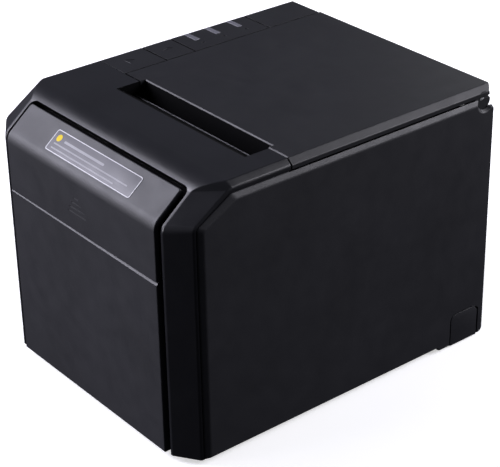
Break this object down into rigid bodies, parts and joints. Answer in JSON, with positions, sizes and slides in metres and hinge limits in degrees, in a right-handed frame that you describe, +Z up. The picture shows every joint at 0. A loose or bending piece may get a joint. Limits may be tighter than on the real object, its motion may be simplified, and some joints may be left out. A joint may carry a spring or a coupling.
{
  "type": "receipt printer",
  "caption": "Black desk-top thermal receipt printer with a hinged lid, open and feed keys, lifting cutter cover, tear bar, sprung print head, geared platen and rear connector bay.",
  "frame": {"origin": "centre of the bounding box's footprint, on the surface the feet stand on", "axes": "+Z up, the front with the cutter cover faces -Y, +X is the right-hand side seen from the front"},
  "size_m": [0.145, 0.178, 0.13],
  "materials": {
    "black_plastic": "fine spark-eroded grain, black",
    "satin_plastic": "smooth satin, black",
    "inner_plastic": "plain moulded, dark grey",
    "label_film": "printed film, dark grey",
    "pipe_plastic": "translucent, clear grey",
    "gear_plastic": "acetal, off-white",
    "wheel_plastic": "moulded, green",
    "board": "solder mask, green",
    "ceramic": "glazed, dark brown",
    "rubber": "matt, black",
    "sheet_steel": "zinc plated sheet",
    "spring_steel": "ground steel",
    "motor_steel": "plated can",
    "aluminium": "extruded, natural"
  },
  "bodies": {
    "chassis": {"front_hood": "satin_plastic", "lower_front_panel": "black_plastic", "side_panel_right": "black_plastic", "side_panel_left": "black_plastic", "cable_cover": "black_plastic", "led_panel": "black_plastic", "rear_strip_panel": "black_plastic", "light_pipe_1": "pipe_plastic", "light_pipe_2": "pipe_plastic", "light_pipe_3": "pipe_plastic", "control_board": "board", "hinge_pin_right": "spring_steel", "hinge_pin_left": "spring_steel", "feed_motor": "motor_steel", "mech_frame": "sheet_steel", "thermal_head": "ceramic", "head_heat_sink": "aluminium", "head_spring_left": "spring_steel", "head_spring_right": "spring_steel", "tear_bar": "spring_steel", "cutter_frame": "sheet_steel", "cutter_motor": "motor_steel", "case_body": "inner_plastic", "base_tray": "inner_plastic", "paper_bucket": "inner_plastic", "main_board": "board", "paper_end_sensor": "inner_plastic", "rear_plate": "sheet_steel", "dc_jack": "inner_plastic", "serial_port": "sheet_steel", "usb_port": "sheet_steel", "ethernet_port": "sheet_steel", "drawer_port": "inner_plastic", "power_switch_frame": "inner_plastic", "foot_1": "rubber", "foot_2": "rubber", "foot_3": "rubber", "foot_4": "rubber"},
    "lid": {"top_cover": "black_plastic", "cover_liner": "inner_plastic", "fixed_blade": "spring_steel", "platen_bush_left": "gear_plastic", "platen_bush_right": "gear_plastic"},
    "platen": {"platen_shaft": "spring_steel", "platen_roller": "rubber", "platen_gear": "gear_plastic"},
    "cutter_access": {"cutter_cover": "black_plastic", "cover_label": "label_film"},
    "open_key": {"open_button": "black_plastic"},
    "feed_key": {"feed_button": "black_plastic"},
    "latch": {"latch_shaft": "spring_steel", "latch_lever_left": "inner_plastic", "latch_hook_right": "inner_plastic"},
    "blade": {"cutter_blade": "spring_steel"},
    "cutter_drive": {"cutter_pinion": "spring_steel", "cutter_release_wheel": "wheel_plastic"},
    "motor_rotor": {"feed_pinion": "spring_steel"},
    "idler": {"idler_gear": "gear_plastic"},
    "rocker": {"power_rocker": "satin_plastic"}
  },
  "joints": [
    {"name": "lid_hinge", "type": "hinge", "parent": "chassis", "child": "lid", "pos_m": [0, 0.0832, 0.1235], "axis": [-1, 0, 0], "range_deg": [0, 90]},
    {"name": "platen_spin", "type": "hinge", "parent": "lid", "child": "platen", "pos_m": [0.01, -0.018, 0.108], "axis": [1, 0, 0], "continuous": true},
    {"name": "cutter_cover_lift", "type": "slide", "parent": "chassis", "child": "cutter_access", "axis": [0, 0, 1], "range_m": [0, 0.016]},
    {"name": "open_button_press", "type": "slide", "parent": "chassis", "child": "open_key", "axis": [0, 0, -1], "range_m": [0, 0.0026], "stiffness_N_per_m": 900},
    {"name": "latch_turn", "type": "hinge", "parent": "chassis", "child": "latch", "pos_m": [0, -0.019, 0.0905], "axis": [1, 0, 0], "range_deg": [0, 16.2]},
    {"name": "feed_button_press", "type": "slide", "parent": "chassis", "child": "feed_key", "axis": [0, 0, -1], "range_m": [0, 0.001], "stiffness_N_per_m": 600},
    {"name": "cutter_blade_slide", "type": "slide", "parent": "chassis", "child": "blade", "axis": [0, 1, 0], "range_m": [0, 0.0065]},
    {"name": "cutter_wheel_turn", "type": "hinge", "parent": "chassis", "child": "cutter_drive", "pos_m": [0.015, -0.054, 0.11], "axis": [0, 0, 1], "range_deg": [-63, 0]},
    {"name": "idler_spin", "type": "hinge", "parent": "chassis", "child": "idler", "pos_m": [-0.042, -0.034, 0.096], "axis": [1, 0, 0], "continuous": true},
    {"name": "feed_pinion_spin", "type": "hinge", "parent": "chassis", "child": "motor_rotor", "pos_m": [-0.042, -0.04408, 0.08256], "axis": [1, 0, 0], "continuous": true},
    {"name": "power_rocker_tilt", "type": "hinge", "parent": "chassis", "child": "rocker", "pos_m": [0.058, 0.0626, 0.0219], "axis": [-1, 0, 0], "range_deg": [0, 16]}
  ],
  "couplings": [
    {"joint": "latch_turn", "follows": "open_button_press", "rad_per_m": 107.4},
    {"joint": "cutter_wheel_turn", "follows": "cutter_blade_slide", "rad_per_m": -166.67},
    {"joint": "idler_spin", "follows": "platen_spin", "ratio": -0.66667},
    {"joint": "feed_pinion_spin", "follows": "platen_spin", "ratio": 1.6667}
  ]
}
